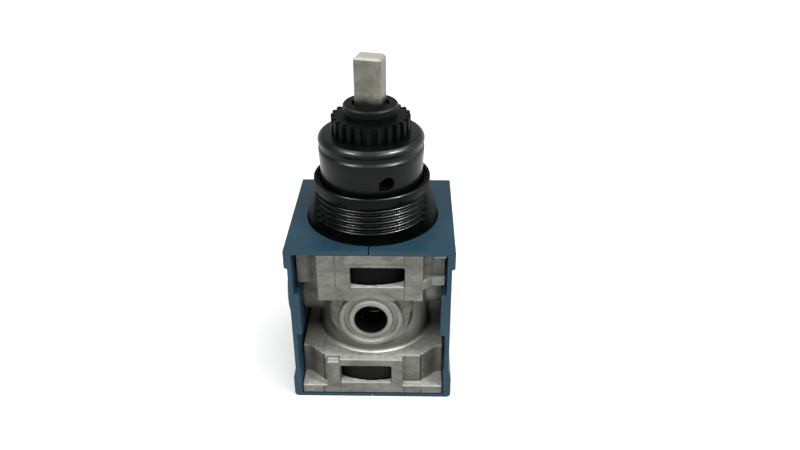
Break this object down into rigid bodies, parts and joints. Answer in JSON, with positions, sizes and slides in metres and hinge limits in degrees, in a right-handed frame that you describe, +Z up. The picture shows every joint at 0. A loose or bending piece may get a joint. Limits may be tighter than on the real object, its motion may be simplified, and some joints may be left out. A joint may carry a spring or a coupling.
{
  "type": "pressure regulator",
  "caption": "Panel-mount pneumatic pressure regulator with a lockable flat-tang spindle, a panel-thread spigot, a die-cast body and clip-on half covers.",
  "frame": {"origin": "centre of the underside, on the spindle axis", "axes": "+Z up along the spindle, -Y out of the front port, -X towards the cover with the gauge bulge"},
  "size_m": [0.0562, 0.0496, 0.1136],
  "materials": {
    "die_casting": "as-cast, slightly rough, stained",
    "cover_plastic": "moulded satin",
    "black_plastic": "moulded satin, slight gloss",
    "spindle_steel": "nickel plated, fine vertical marks",
    "plain_steel": "bright zinc plated",
    "spring_steel": "oiled wire",
    "brass": "turned",
    "rubber": "nitrile"
  },
  "bodies": {
    "housing": {"body_casting": "die_casting", "left_cover": "cover_plastic", "right_cover": "cover_plastic", "threaded_bonnet": "black_plastic", "detent_sleeve": "black_plastic", "lock_spline_ring": "black_plastic", "spindle_bush": "black_plastic", "spindle_seal": "rubber", "thrust_washer": "plain_steel", "main_spring": "spring_steel", "diaphragm": "rubber", "slip_ring": "black_plastic", "valve_seat": "brass", "return_spring": "spring_steel", "bottom_cap": "black_plastic", "cap_oring": "rubber", "guide_oring": "rubber", "aspirator_tube": "brass", "left_gauge_plug": "plain_steel", "right_gauge_plug": "plain_steel", "gauge_plug_seals": "rubber"},
    "spindle": {"adjusting_spindle": "spindle_steel"},
    "nut": {"spring_nut": "brass"},
    "diaphragm_stack": {"diaphragm_plate": "plain_steel", "diaphragm_hub": "brass", "hub_nut": "plain_steel"},
    "valve": {"valve_stem": "plain_steel", "valve_poppet": "brass", "poppet_seal": "rubber"}
  },
  "joints": [
    {"name": "spindle_turn", "type": "hinge", "parent": "housing", "child": "spindle", "pos_m": [0, 0, 0.09], "axis": [0, 0, 1], "range_deg": [-2071, 0]},
    {"name": "nut_travel", "type": "slide", "parent": "housing", "child": "nut", "axis": [0, 0, 1], "range_m": [-0.00863, 0], "deforming": ["main_spring"]},
    {"name": "diaphragm_move", "type": "slide", "parent": "housing", "child": "diaphragm_stack", "axis": [0, 0, -1], "range_m": [0, 0.0014], "stiffness_N_per_m": 2500, "springref_m": -0.002, "deforming": ["diaphragm"]},
    {"name": "valve_move", "type": "slide", "parent": "housing", "child": "valve", "axis": [0, 0, -1], "range_m": [0, 0.00142], "deforming": ["return_spring"]}
  ],
  "couplings": [
    {"joint": "spindle_turn", "follows": "nut_travel", "rad_per_m": 4188.8},
    {"joint": "valve_move", "follows": "diaphragm_move", "ratio": 1}
  ]
}
